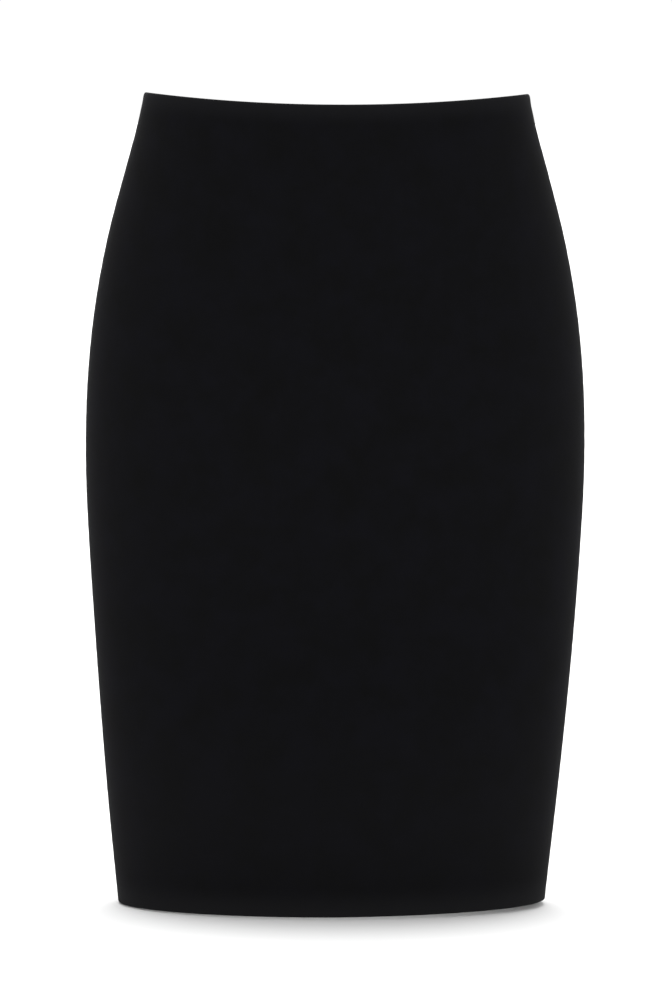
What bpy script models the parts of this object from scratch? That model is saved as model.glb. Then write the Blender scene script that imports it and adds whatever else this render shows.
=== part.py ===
# Pencil skirt, knee length, filled out and hollow as if worn, with no wearer.
# Metres, +Z up. The front faces -Y, and the wearer's left is +X.
# The origin is the middle of the waist opening, level with the waist edge at the centre front.
#
# A place on the skirt is a turn round the body and a drop below the waist edge. The turn is 0 at
# the centre front, a quarter turn at the left side seam and half a turn at the centre back, and
# it is negative on the wearer's right.

import math

import bmesh
import bpy
from mathutils import Vector

MM = 0.001
QUARTER = math.pi / 2
HALF_TURN = math.pi

# The cut
LENGTH = 590.5 * MM  # centre front, waist edge to hem
SIDE_RISE = 8.5 * MM  # the waist edge at the side seams stands this far above the centre front
BACK_DIP = 7 * MM  # and at the centre back it lies this far below it
RISE_ENDS = 160 * MM  # drop at which the rows of cloth have become level

# Sewing
CLOTH = 1.5 * MM  # one layer
TWO_LAYERS = 2 * CLOTH  # where cloth is turned in and pressed flat
SEAM_GAP = 0.3 * MM  # between neighbouring pieces
STEP = 1 * MM  # width of the step from two layers to one
ALLOWANCE = 12 * MM  # turned in along the side seams and the centre back seam
WAIST_TURN = 25 * MM
HEM_TURN = 35 * MM

# Vent at the centre back, the left side lapping over the right
VENT_TOP = LENGTH - 170 * MM  # its drop
VENT_TUCKED = VENT_TOP + 15 * MM  # drop where the right side is fully under the left
VENT_FACING = 40 * MM  # turned in on the left side
UNDERLAP = 38 * MM  # the right side's reach past the centre back
LAP_DEPTH = TWO_LAYERS + 0.5 * MM  # of the underlap's face below the skirt's
LAP_RUN = 20 * MM  # width over which the right side sinks to that depth

# Concealed zip at the centre back, closed
ZIP_START = 3 * MM  # drop of the tapes' upper ends
ZIP_END = 205 * MM  # and of their lower ends
ZIP_PARTS = 30 * MM  # above this drop the two sides part
PARTED = 1.65 * MM  # each side's distance from the centre back at the waist edge
TAPE_WIDTH = 11.5 * MM
TAPE = 0.8 * MM
COIL_END = 196 * MM
COIL_WIDTH = 4 * MM
COIL = 1.6 * MM
STOP_LENGTH = 5 * MM
STOP_WIDTH = 5 * MM
STOP = 2.4 * MM

# Slider, placed by the axis that its tab turns on
SLIDER_DROP = 9 * MM
AXIS_PROUD = 1.6 * MM  # of the cloth's outer face
SLIDER_BODY = Vector((7, 3.6, 9)) * MM  # across, thick, tall
LOOP_OUTER = 2.8 * MM  # radii of the loop that holds the tab
LOOP_INNER = 1.5 * MM
LOOP_THICK = 1.2 * MM
NECK_TALL = 3.6 * MM  # of the neck that joins the loop to the body, between the two sides
SLIDER_BEVEL = 0.7 * MM

# Tab
TAB_THICK = 1.2 * MM
TAB_TOP = 0.6 * MM  # from the axis up to the tab's upper edge
TAB_TOP_HALF = 2.3 * MM  # half its width there
TAB_END_RADIUS = 3.2 * MM
TAB_END_DROP = 16 * MM  # from the axis down to the middle of the round end
TAB_WINDOW_HALF = 1.1 * MM  # half the width of the window that the loop passes through
TAB_WINDOW = (0.5 * MM, 3.5 * MM)  # where it starts and ends below the axis
TAB_ARC = 9  # sides of half the round end

# One row for each level of the skirt. Millimetres below the waist edge at the centre front, and
# there half the width and how far the front and the back stand out from the side seams.
SECTIONS = (
    dict(drop=-10, width=142.0, front=91.5, back=94.0),
    dict(drop=0, width=143.5, front=92.5, back=96.5),
    dict(drop=20, width=148.1, front=95.0, back=101.5),
    dict(drop=50, width=156.3, front=99.0, back=109.0),
    dict(drop=100, width=169.0, front=105.0, back=120.5),
    dict(drop=150, width=178.0, front=109.5, back=128.5),
    dict(drop=200, width=183.0, front=112.5, back=132.5),
    dict(drop=250, width=184.5, front=113.5, back=133.0),
    dict(drop=300, width=183.2, front=113.0, back=130.5),
    dict(drop=400, width=176.5, front=110.0, back=122.5),
    dict(drop=500, width=167.8, front=107.0, back=114.0),
    dict(drop=590, width=158.4, front=104.0, back=107.0),
)

ROW_SPACING = 24 * MM  # the most between two rows of a panel's mesh
FRONT_COLUMNS = 24  # between its seam allowances
BACK_COLUMNS = 10  # between a side seam's allowance and the vent's facing


# The form of the skirt


def ease(share):
    # From 0 to 1 with no kink at either end.
    share = min(max(share, 0), 1)
    return share * share * (3 - 2 * share)


def section(column, level):
    # A size from the table, on a smooth curve through its rows.
    below = level / MM
    inner = [i for i in range(len(SECTIONS) - 1) if SECTIONS[i]["drop"] <= below]
    i = max(inner, default=0)
    low, high = SECTIONS[i], SECTIONS[i + 1]
    span = high["drop"] - low["drop"]
    t = (below - low["drop"]) / span

    def slope(k):
        before = SECTIONS[max(k - 1, 0)]
        after = SECTIONS[min(k + 1, len(SECTIONS) - 1)]
        return (after[column] - before[column]) / (after["drop"] - before["drop"])

    ends = (2 * t**3 - 3 * t**2 + 1) * low[column] + (3 * t**2 - 2 * t**3) * high[column]
    bends = (t**3 - 2 * t**2 + t) * slope(i) + (t**3 - t**2) * slope(i + 1)
    return (ends + bends * span) * MM


def waist_edge(turn):
    # Its height: up from the centre front to the side seams, and down to the centre back.
    facing = math.cos(turn)
    fall = SIDE_RISE if facing > 0 else SIDE_RISE + BACK_DIP
    return SIDE_RISE - fall * facing * facing


def outside(turn, drop):
    # A point on the skirt's outer face.
    z = waist_edge(turn) * (1 - ease(drop / RISE_ENDS)) - drop
    facing = math.cos(turn)
    depth = section("front" if facing > 0 else "back", -z)
    return Vector((section("width", -z) * math.sin(turn), -depth * facing, z))


def outward(turn, drop):
    # The direction straight out of the cloth there.
    d_turn, d_drop = 0.002, 0.4 * MM
    across = outside(turn + d_turn, drop) - outside(turn - d_turn, drop)
    down = outside(turn, drop + d_drop) - outside(turn, drop - d_drop)
    return down.cross(across).normalized()


def place(turn, drop, depth):
    # A point at this depth under the skirt's outer face.
    return outside(turn, drop) - outward(turn, drop) * depth


def from_side(distance, drop, part):
    # The turn at this distance from the left side seam, on the "front" or "back" part.
    offset = distance / section(part, drop)
    return QUARTER - offset if part == "front" else QUARTER + offset


def from_back(distance, drop):
    # The turn at this distance to the left of the centre back.
    return HALF_TURN - math.asin(distance / section("width", drop))


def back_edge(drop):
    # Each back panel's distance from the centre back. The zip's two sides part at the top.
    return SEAM_GAP / 2 + (PARTED - SEAM_GAP / 2) * max(1 - drop / ZIP_PARTS, 0)


# Meshes


def spread(stops, most):
    # The stops, with even steps of no more than `most` between them.
    found = [stops[0]]
    for start, end in zip(stops, stops[1:]):
        steps = max(math.ceil((end - start) / most - 1e-6), 1)
        found += [start + (end - start) * k / steps for k in range(1, steps + 1)]
    return found


def finish_object(name, mesh, material):
    made = bpy.data.objects.new(name, mesh)
    mesh.materials.append(material)
    bpy.context.collection.objects.link(made)
    return made


def shell(name, faces, backs, cells, material):
    # A closed wall between two grids of points, with only the cells that `cells` accepts.
    rows, columns = len(faces), len(faces[0])
    used = {(r, c) for r in range(rows - 1) for c in range(columns - 1) if cells(r, c)}
    corners = {(r + i, c + j) for r, c in used for i in (0, 1) for j in (0, 1)}
    bm = bmesh.new()
    front = {at: bm.verts.new(faces[at[0]][at[1]]) for at in sorted(corners)}
    back = {at: bm.verts.new(backs[at[0]][at[1]]) for at in sorted(corners)}
    for r, c in sorted(used):
        ring = [(r, c), (r, c + 1), (r + 1, c + 1), (r + 1, c)]
        bm.faces.new([front[at] for at in ring])
        bm.faces.new([back[at] for at in reversed(ring)])
        neighbours = [(r - 1, c), (r, c + 1), (r + 1, c), (r, c - 1)]
        for k, neighbour in enumerate(neighbours):
            if neighbour not in used:
                start, end = ring[k], ring[(k + 1) % 4]
                bm.faces.new([front[end], front[start], back[start], back[end]])
    bmesh.ops.recalc_face_normals(bm, faces=bm.faces)
    mesh = bpy.data.meshes.new(name)
    bm.to_mesh(mesh)
    bm.free()
    mesh.shade_smooth()
    mesh.set_sharp_from_angle(angle=math.radians(40))
    return finish_object(name, mesh, material)


def panel(name, drops, columns, cells, material):
    # `columns` gives, for a drop, each column's turn and the depths of its face and its back.
    rows = [[(turn, drop, face, back) for turn, face, back in columns(drop)] for drop in drops]
    faces = [[place(turn, drop, face) for turn, drop, face, _ in row] for row in rows]
    backs = [[place(turn, drop, back) for turn, drop, _, back in row] for row in rows]
    return shell(name, faces, backs, cells, material)


def everywhere(row, column):
    # For a panel with no cell left out.
    return True


def plate(outline, window, thickness, on_edge=False):
    # An upright plate with a window, from two loops with as many points each. It lies across X,
    # or along Y when it stands on edge.
    bm = bmesh.new()
    rings = []
    for loop in (outline, window):
        for out in (-thickness / 2, thickness / 2):
            ring = [(out, a, z) if on_edge else (a, out, z) for a, z in loop]
            rings.append([bm.verts.new(point) for point in ring])
    outer_low, outer_high, inner_low, inner_high = rings
    count = len(outline)
    for k in range(count):
        n = (k + 1) % count
        for one, other in (
            (outer_low, outer_high),
            (outer_high, inner_high),
            (inner_high, inner_low),
            (inner_low, outer_low),
        ):
            bm.faces.new([one[k], one[n], other[n], other[k]])
    bmesh.ops.recalc_face_normals(bm, faces=bm.faces)
    return bm


def block(size, centre):
    bm = bmesh.new()
    bmesh.ops.create_cube(bm, size=1)
    bmesh.ops.scale(bm, vec=size, verts=bm.verts)
    bmesh.ops.translate(bm, vec=centre, verts=bm.verts)
    return bm


def solid(name, bm, material):
    mesh = bpy.data.meshes.new(name)
    bm.to_mesh(mesh)
    bm.free()
    return finish_object(name, mesh, material)


def union(made, other):
    # `other` is a guide, which the build leaves out.
    other.hide_render = True
    other.display_type = "WIRE"
    modifier = made.modifiers.new("Union", "BOOLEAN")
    modifier.operation = "UNION"
    modifier.solver = "EXACT"
    modifier.object = other


def material(name, colour, roughness, metallic=0.0):
    made = bpy.data.materials.new(name)
    made.use_nodes = True
    shader = made.node_tree.nodes["Principled BSDF"]
    shader.inputs["Base Color"].default_value = (*colour, 1)
    shader.inputs["Roughness"].default_value = roughness
    shader.inputs["Metallic"].default_value = metallic
    made.diffuse_color = (*colour, 1)
    return made


# The panels

PANEL_DROPS = spread(
    (
        0,
        WAIST_TURN,
        WAIST_TURN + STEP,
        ZIP_PARTS,
        VENT_TOP,
        VENT_TUCKED,
        LENGTH - HEM_TURN - STEP,
        LENGTH - HEM_TURN,
        LENGTH,
    ),
    ROW_SPACING,
)


def layers(drop, turned_in):
    # The wall's thickness: two layers in the turned waist, the turned hem and the allowances.
    at_waist = drop <= WAIST_TURN
    at_hem = drop >= LENGTH - HEM_TURN
    return TWO_LAYERS if turned_in or at_waist or at_hem else CLOTH


def front_columns(drop):
    seam = [SEAM_GAP / 2, ALLOWANCE, ALLOWANCE + STEP]
    left = [from_side(distance, drop, "front") for distance in seam]
    inner = left[-1]
    middle = [inner - 2 * inner * k / FRONT_COLUMNS for k in range(1, FRONT_COLUMNS)]
    turns = left + middle + [-turn for turn in reversed(left)]
    last = len(turns) - 1
    return [(turn, 0, layers(drop, min(i, last - i) < 2)) for i, turn in enumerate(turns)]


def back_turns(drop):
    # From the left side seam to the centre back. Each that is near the centre back comes with its
    # distance from it.
    side = [from_side(at, drop, "back") for at in (SEAM_GAP / 2, ALLOWANCE, ALLOWANCE + STEP)]
    near = (VENT_FACING + STEP, VENT_FACING, LAP_RUN, ALLOWANCE + STEP, ALLOWANCE, LAP_RUN / 4)
    centre = [(from_back(at, drop), at) for at in near]
    centre.append((from_back(back_edge(drop), drop), 0))
    first, last = side[-1], centre[0][0]
    middle = [first + (last - first) * k / BACK_COLUMNS for k in range(1, BACK_COLUMNS)]
    return [(turn, None) for turn in side + middle] + centre


def in_side_allowance(column):
    return column < 2


def left_columns(drop):
    facing = VENT_FACING if drop >= VENT_TOP else ALLOWANCE
    found = []
    for column, (turn, at) in enumerate(back_turns(drop)):
        turned_in = in_side_allowance(column) or (at is not None and at <= facing)
        found.append((turn, 0, layers(drop, turned_in)))
    return found


def right_columns(drop):
    # As the left, mirrored. Below the vent's top its edge sinks under the left side and goes on
    # as the underlap.
    sunk = LAP_DEPTH * ease((drop - VENT_TOP) / (VENT_TUCKED - VENT_TOP))
    found = []
    for column, (turn, at) in enumerate(back_turns(drop)):
        near_centre = at is not None
        turned_in = in_side_allowance(column) or (
            near_centre and at <= ALLOWANCE and drop <= VENT_TOP
        )
        face = sunk * ease(1 - at / LAP_RUN) if near_centre else 0
        found.append((-turn, face, face + layers(drop, turned_in)))
    for reach in (SEAM_GAP, UNDERLAP / 2, UNDERLAP):
        beyond = from_back(reach, drop) - 2 * HALF_TURN
        found.append((beyond, sunk, sunk + layers(drop, False)))
    return found


def build_panels(cloth):
    own_columns = len(back_turns(LENGTH)) - 1

    def right_cells(row, column):
        return column < own_columns or PANEL_DROPS[row] >= VENT_TUCKED - STEP / 2

    panel("front_panel", PANEL_DROPS, front_columns, everywhere, cloth)
    panel("back_left_panel", PANEL_DROPS, left_columns, everywhere, cloth)
    panel("back_right_panel", PANEL_DROPS, right_columns, right_cells, cloth)


# The zip


def strip(name, drops, edges, depth, thickness, material):
    # A strip along the centre back, between the two distances that `edges` gives.
    def columns(drop):
        return [(from_back(at, drop), depth, depth + thickness) for at in edges(drop)]

    return panel(name, drops, columns, everywhere, material)


def build_zip(tape_cloth, nylon, enamel):
    tape_depth = TWO_LAYERS + SEAM_GAP
    coil_depth = tape_depth + TAPE + SEAM_GAP
    coil_start = SLIDER_DROP + SLIDER_BODY.z / 2 + SEAM_GAP
    stop_start = COIL_END + SEAM_GAP
    tape_drops = spread((ZIP_START, ZIP_PARTS, ZIP_END), ROW_SPACING)
    coil_drops = spread((coil_start, COIL_END), ROW_SPACING)
    stop_drops = (stop_start, stop_start + STOP_LENGTH)

    for side, name in ((1, "zip_tape_left"), (-1, "zip_tape_right")):
        strip(
            name,
            tape_drops,
            lambda drop, side=side: (side * back_edge(drop), side * TAPE_WIDTH),
            tape_depth,
            TAPE,
            tape_cloth,
        )
    half_coil, half_stop = COIL_WIDTH / 2, STOP_WIDTH / 2
    strip("zip_coil", coil_drops, lambda _: (-half_coil, half_coil), coil_depth, COIL, nylon)
    strip("zip_bottom_stop", stop_drops, lambda _: (-half_stop, half_stop), coil_depth, STOP, enamel)

    # The slider and the tab share the tab's axis as their origin, and lie along the cloth.
    out = outward(HALF_TURN, SLIDER_DROP)
    axis_at = outside(HALF_TURN, SLIDER_DROP) + out * AXIS_PROUD
    lean = math.atan2(out.z, out.y)
    for made in (build_slider(AXIS_PROUD + coil_depth, enamel), build_tab(enamel)):
        made.location = axis_at
        made.rotation_euler = (lean, 0, 0)


def build_slider(body_depth, enamel):
    # The body lies inside the cloth. The loop stands outside it, on edge, and holds the tab.
    body_centre = Vector((0, -body_depth - SLIDER_BODY.y / 2, 0))
    slider = solid("zip_slider", block(SLIDER_BODY, body_centre), enamel)
    bevel = slider.modifiers.new("Bevel", "BEVEL")
    bevel.width = SLIDER_BEVEL
    bevel.segments = 2

    sides = 24
    turns = [2 * math.pi * k / sides for k in range(sides)]
    rings = [
        [(radius * math.cos(turn), radius * math.sin(turn)) for turn in turns]
        for radius in (LOOP_OUTER, LOOP_INNER)
    ]
    loop = solid("loop_guide", plate(*rings, LOOP_THICK, on_edge=True), enamel)

    neck_top = -(LOOP_INNER + LOOP_OUTER) / 2
    neck_bottom = -body_depth - SLIDER_BODY.y / 2
    neck_size = Vector((LOOP_THICK, neck_top - neck_bottom, NECK_TALL))
    neck_centre = Vector((0, (neck_top + neck_bottom) / 2, 0))
    neck = solid("neck_guide", block(neck_size, neck_centre), enamel)
    for guide in (loop, neck):
        guide.parent = slider
        union(slider, guide)
    return slider


def build_tab(enamel):
    # Both loops start at the middle of their upper edge and run down the right side.
    lean = math.asin((TAB_END_RADIUS - TAB_TOP_HALF) / TAB_END_DROP)
    arc = [-lean + (QUARTER + lean) * k / TAB_ARC for k in range(TAB_ARC + 1)]
    outline = [(0, TAB_TOP), (TAB_TOP_HALF, TAB_TOP), (TAB_TOP_HALF, 0)]
    outline += [
        (TAB_END_RADIUS * math.cos(a), -TAB_END_DROP - TAB_END_RADIUS * math.sin(a)) for a in arc
    ]
    start, end = TAB_WINDOW
    steps = len(outline) - 3
    window = [(0, -start)]
    window += [
        (TAB_WINDOW_HALF, -start - (end - start) * k / steps) for k in range(steps + 1)
    ]
    window += [(0, -end)]
    loops = [loop + [(-x, z) for x, z in reversed(loop[1:-1])] for loop in (outline, window)]
    return solid("zip_pull_tab", plate(*loops, TAB_THICK), enamel)


for old in list(bpy.data.objects):
    bpy.data.objects.remove(old)

build_panels(material("black_cloth", (0.010, 0.010, 0.011), 0.9))
build_zip(
    material("black_tape", (0.012, 0.012, 0.013), 0.8),
    material("black_nylon", (0.015, 0.015, 0.016), 0.45),
    material("black_enamel", (0.012, 0.012, 0.013), 0.3, 0.2),
)
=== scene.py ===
# A black pencil skirt, filled out and hollow, with a vent and a concealed zip at the centre back.
# Metres, +Z up, front facing -Y, wearer's left at +X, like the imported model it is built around.
# A place on the skirt is a turn round the body from the centre front and a drop below the waist.
import math

import bmesh
import bpy
import numpy as np
from mathutils import Matrix, Vector


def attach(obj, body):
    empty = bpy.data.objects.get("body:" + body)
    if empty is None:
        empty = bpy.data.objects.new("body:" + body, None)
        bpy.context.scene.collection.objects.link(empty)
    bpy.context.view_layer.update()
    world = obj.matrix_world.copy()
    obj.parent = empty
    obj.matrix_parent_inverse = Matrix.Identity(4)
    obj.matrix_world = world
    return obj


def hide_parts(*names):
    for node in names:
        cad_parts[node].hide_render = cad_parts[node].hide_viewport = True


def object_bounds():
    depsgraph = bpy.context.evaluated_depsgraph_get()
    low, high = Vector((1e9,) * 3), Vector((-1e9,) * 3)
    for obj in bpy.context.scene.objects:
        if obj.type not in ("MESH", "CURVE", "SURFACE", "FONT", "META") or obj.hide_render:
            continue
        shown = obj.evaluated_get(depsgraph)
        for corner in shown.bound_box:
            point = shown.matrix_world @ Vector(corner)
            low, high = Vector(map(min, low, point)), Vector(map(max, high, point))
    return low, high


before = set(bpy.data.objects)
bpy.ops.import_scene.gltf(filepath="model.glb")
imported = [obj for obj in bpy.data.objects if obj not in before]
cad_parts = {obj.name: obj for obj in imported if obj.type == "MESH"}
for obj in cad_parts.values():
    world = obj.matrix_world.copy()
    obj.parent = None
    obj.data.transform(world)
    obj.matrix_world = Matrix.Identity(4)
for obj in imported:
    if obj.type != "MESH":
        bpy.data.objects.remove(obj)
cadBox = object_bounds()
mm = 0.001
quarter = math.pi / 2
halfTurn = math.pi
skirtBottom = cadBox[0][2]
print("Loaded the packed skirt")

# Camera, floor and light. The camera is level with the waist and looks a little down.
studio = {
    "distance": 4.9,
    "seesTo": 1000,
    "eyeHeight": 0.0,
    "aimHeight": -0.2953,
    "aimAside": 0.0008,
    "roll": 0.0045,
    "pictureHeight": 0.746,  # metres of the skirt's own plane from the top to the foot of the frame
    "sensor": 36,
    "floorDrop": 0.0015,  # below the hem
    "floorSize": 400,
    "floorColour": 0.80,
    "floorRoughness": 0.9,
    "surround": 1.02,
    "overhead": {"power": 3.7, "spread": 40, "fromBehind": 20},  # spread and slant in degrees
    # Softboxes for the back and the sides. They light only the skirt, not the floor.
    "softboxes": (
        {"at": (-0.5, 2.4, 0.45), "size": (0.7, 1.5), "power": 22},
        {"at": (0.4, 2.5, 0.1), "size": (0.6, 1.5), "power": 16},
    ),
    "softboxAim": (0, 0.05, -0.3),
}


def addObject(name, data):
    made = bpy.data.objects.new(name, data)
    bpy.context.scene.collection.objects.link(made)
    return made


def addCamera():
    lens = bpy.data.cameras.new("camera")
    camera = addObject("camera", lens)
    eye = Vector((studio["aimAside"], -studio["distance"], studio["eyeHeight"]))
    aim = Vector((studio["aimAside"], 0, studio["aimHeight"]))
    camera.location = eye
    look = (aim - eye).to_track_quat("-Z", "Y")
    camera.rotation_euler = (look.to_matrix() @ Matrix.Rotation(studio["roll"], 3, "Z")).to_euler()
    lens.sensor_width = studio["sensor"]
    lens.lens = studio["sensor"] * (aim - eye).length / studio["pictureHeight"]
    lens.clip_end = studio["seesTo"]
    bpy.context.scene.camera = camera


def addFloor():
    half = studio["floorSize"] / 2
    low = skirtBottom - studio["floorDrop"]
    mesh = bpy.data.meshes.new("floor")
    corners = [(x, y, low) for x, y in ((-half, -half), (half, -half), (half, half), (-half, half))]
    mesh.from_pydata(corners, [], [(0, 1, 2, 3)])
    paint = bpy.data.materials.new("pale floor")
    paint.use_nodes = True
    shader = paint.node_tree.nodes["Principled BSDF"]
    shader.inputs["Base Color"].default_value = (*[studio["floorColour"]] * 3, 1)
    shader.inputs["Roughness"].default_value = studio["floorRoughness"]
    shader.inputs["Specular IOR Level"].default_value = 0
    mesh.materials.append(paint)
    floor = addObject("floor", mesh)


def addLamp(name, kind, power):
    lamp = bpy.data.lights.new(name, kind)
    lamp.energy = power
    return addObject(name, lamp)


def addLight():
    world = bpy.data.worlds.new("studio")
    bpy.context.scene.world = world
    world.use_nodes = True
    background = world.node_tree.nodes["Background"]
    background.inputs["Color"].default_value = (1, 1, 1, 1)
    background.inputs["Strength"].default_value = studio["surround"]
    overhead = addLamp("overhead", "SUN", studio["overhead"]["power"])
    overhead.data.angle = math.radians(studio["overhead"]["spread"])
    overhead.rotation_euler = (-math.radians(studio["overhead"]["fromBehind"]), 0, 0)
    for k, box in enumerate(studio["softboxes"]):
        softbox = addLamp(f"softbox {k}", "AREA", box["power"])
        softbox.data.shape = "RECTANGLE"
        softbox.data.size, softbox.data.size_y = box["size"]
        softbox.location = box["at"]
        aim = Vector(studio["softboxAim"]) - softbox.location
        softbox.rotation_euler = aim.to_track_quat("-Z", "Y").to_euler()
        softbox.light_linking.receiver_collection = skirtOnly


skirtOnly = bpy.data.collections.new("skirt only")
addCamera()
addFloor()
addLight()
bpy.context.scene.view_settings.view_transform = "Standard"
print("Camera, floor and light are set")

# The skirt's form. Each level gives, in millimetres, its drop below the waist edge at the centre
# front, half the width there, and how far the front and the back stand out from the side seams.
skirt = {
    "length": 590.5 * mm,
    "sideRise": 8.5 * mm,  # of the waist edge, from the centre front up to the side seams
    "backDip": 7 * mm,  # and from the centre front down to the centre back
    "riseEnds": 160 * mm,
    # It hangs a little unevenly: moved aside towards the hem, lowered on one side, raised on the other.
    "hangs": {"from": 360 * mm, "aside": -1.2 * mm, "lowered": 0.8 * mm, "raised": 2.4 * mm},
    "levels": (
        (-10, 142, 91.5, 94),
        (0, 143.5, 92.5, 96.5),
        (20, 148.1, 95, 101.5),
        (50, 156.3, 99, 109),
        (100, 169, 105, 120.5),
        (150, 178, 109.5, 128.5),
        (200, 183, 112.5, 132.5),
        (250, 184.5, 113.5, 133),
        (300, 183.2, 113, 130.5),
        (400, 176.5, 110, 122.5),
        (500, 167.8, 107, 114),
        (590, 158.4, 104, 107),
    ),
    # Soft creases: the turn and the drop of the middle of each, its reach along and across, its
    # lean from upright, and its height, below nought for a trough. Degrees and millimetres.
    "creases": (
        (12, 300, 170, 42, 8, 0.25),
        (-22, 380, 150, 36, -6, -0.22),
        (30, 470, 110, 30, 4, 0.25),
        (148, 322, 58, 13, 74, 0.7),
        (152, 348, 66, 15, 80, -0.8),
        (-146, 330, 50, 12, -78, 0.6),
        (-153, 362, 72, 16, -70, -0.8),
        (118, 400, 150, 22, 10, 0.8),
        (-120, 440, 120, 20, -8, 0.8),
        (160, 500, 80, 18, 3, 0.7),
        (-158, 490, 90, 20, -4, -0.6),
        (104, 60, 50, 18, 40, -0.4),
        (-102, 75, 46, 16, -46, -0.4),
    ),
    "pucker": {
        "high": 0.09 * mm,
        "pitch": 13 * mm,
        "reach": 7 * mm,
        "uneven": (0.3, 1.0),  # the least and the most of that height
        "swells": 0.27,  # of it to each wave
        "seams": ((quarter, 0.3), (-quarter, 1.9), (halfTurn, 4.1)),  # turn and where its wave starts
    },
}
levels = dict(zip(("drop", "width", "front", "back"), np.array(skirt["levels"]).T * mm))

# Cutting and sewing sizes
sewing = {
    "thick": 0.9 * mm,
    "foldRadius": 0.55 * mm,  # of the middle of the cloth where it turns in at the waist and hem
    "edgeLean": {"in": 0.9 * mm, "tall": 3.6 * mm},  # of the waist edge
    "waistTurn": 25 * mm,
    "hemTurn": 35 * mm,
    "allowance": 12 * mm,
    "seamRadius": 0.475 * mm,  # of the middle of the cloth where it turns in at a seam
    "seamGap": 0.1 * mm,
    "climb": {"clear": 0.05 * mm, "run": 5 * mm},  # of a turned band, over cloth turned in at a seam
    "shut": {"share": 0.97, "deep": 0.14 * mm},  # how far a cut edge closes on its seam
    "spacing": 4 * mm,  # of the mesh
    "fine": {"reach": 5 * mm, "spacing": 0.8 * mm},  # and close to the waist edge
    "near": np.array((20, 16, 12.5, 9, 6.2, 4.2, 2.8, 1.8)) * mm,  # columns close to an edge
}
vent = {
    "top": 420.5 * mm,  # its drop
    "tucked": 435.5 * mm,  # drop where the right side is fully under the left
    "facing": 40 * mm,
    "widens": {"above": 10 * mm, "run": 14 * mm},  # from the allowance to the facing
    "underlap": 38 * mm,
    "underlapNear": 6 * mm,  # of it, with closer columns
    "underlapTurn": 9 * mm,
    "depth": 3.3 * mm,  # of the underlap below the skirt's face
    "run": 20 * mm,  # width over which the right side sinks to that depth
}
zipSizes = {
    "start": 3 * mm,
    "end": 205 * mm,
    "parts": 30 * mm,  # above this drop the two sides part
    "parted": 1.65 * mm,
    "tapeWidth": 11.5 * mm,
    "tapeDepth": 3.3 * mm,
    "tape": 0.5 * mm,
    # The turned-in cloth lies deeper against the tape, from this drop and this width on.
    "against": {"deep": 1.2 * mm, "from": 27 * mm, "run": 8 * mm, "runOut": 10 * mm},
    "stitched": {"start": 1 * mm, "run": 3 * mm},
}
dart = {
    "fromBack": 78 * mm,
    "spreads": 5 * mm,
    "long": 122 * mm,
    "straight": 0.6,  # share of its length, above where it starts to run out
    "starts": 1.5 * mm,
    "sunk": 0.38 * mm,
    "half": 0.75 * mm,
    "near": np.array((-3.2, -2, -1.3, -0.8, -0.4, 0, 0.4, 0.8, 1.3, 2, 3.2)) * mm,  # its columns
}


def ease(share):
    share = np.clip(share, 0, 1)
    return share * share * (3 - 2 * share)


def sizeAt(column, below):
    # A smooth curve through the levels.
    drops, sizes = levels["drop"], levels[column]
    last = len(drops) - 1
    before = np.maximum(np.arange(last + 1) - 1, 0)
    after = np.minimum(np.arange(last + 1) + 1, last)
    slopes = (sizes[after] - sizes[before]) / (drops[after] - drops[before])
    i = np.clip(np.searchsorted(drops, below, side="right") - 1, 0, last - 1)
    span = drops[i + 1] - drops[i]
    t = (below - drops[i]) / span
    ends = (2 * t**3 - 3 * t**2 + 1) * sizes[i] + (3 * t**2 - 2 * t**3) * sizes[i + 1]
    bends = (t**3 - 2 * t**2 + t) * slopes[i] + (t**3 - t**2) * slopes[i + 1]
    return ends + bends * span


def outside(turn, drop):
    # A point on the skirt's smooth form.
    facing = np.cos(turn)
    fall = np.where(facing > 0, skirt["sideRise"], skirt["sideRise"] + skirt["backDip"])
    rise = skirt["sideRise"] - fall * facing * facing
    z = rise * (1 - ease(drop / skirt["riseEnds"])) - drop
    depth = np.where(facing > 0, sizeAt("front", -z), sizeAt("back", -z))
    side = np.sin(turn)
    share = ease((drop - skirt["hangs"]["from"]) / (skirt["length"] - skirt["hangs"]["from"]))
    x = sizeAt("width", -z) * side + skirt["hangs"]["aside"] * share
    uneven = np.where(side > 0, skirt["hangs"]["raised"], skirt["hangs"]["lowered"])
    return np.stack((x, -depth * facing, z + uneven * share * side), axis=-1)


def outward(turn, drop):
    # The way the form faces there, from its slopes over a little distance.
    littleTurn, littleDrop = 0.002, 0.4 * mm
    across = outside(turn + littleTurn, drop) - outside(turn - littleTurn, drop)
    down = outside(turn, drop + littleDrop) - outside(turn, drop - littleDrop)
    out = np.cross(down, across)
    return out / np.linalg.norm(out, axis=-1, keepdims=True)


creaseWidth = 0.85  # of the half width, because the skirt is less deep than it is wide


def awayFrom(turn, seam):
    return (turn - seam + halfTurn) % (2 * halfTurn) - halfTurn


def creaseHeight(turn, drop):
    height = 0
    for middle, level, long, wide, lean, high in skirt["creases"]:
        across = awayFrom(turn, math.radians(middle)) * sizeAt("width", drop) * creaseWidth
        down = drop - level * mm
        lean = math.radians(lean)
        along = down * math.cos(lean) + across * math.sin(lean)
        aside = across * math.cos(lean) - down * math.sin(lean)
        reach = (along / (long * mm)) ** 2 + (aside / (wide * mm)) ** 2
        height = height + high * mm * np.exp(-reach)
    return height


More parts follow.
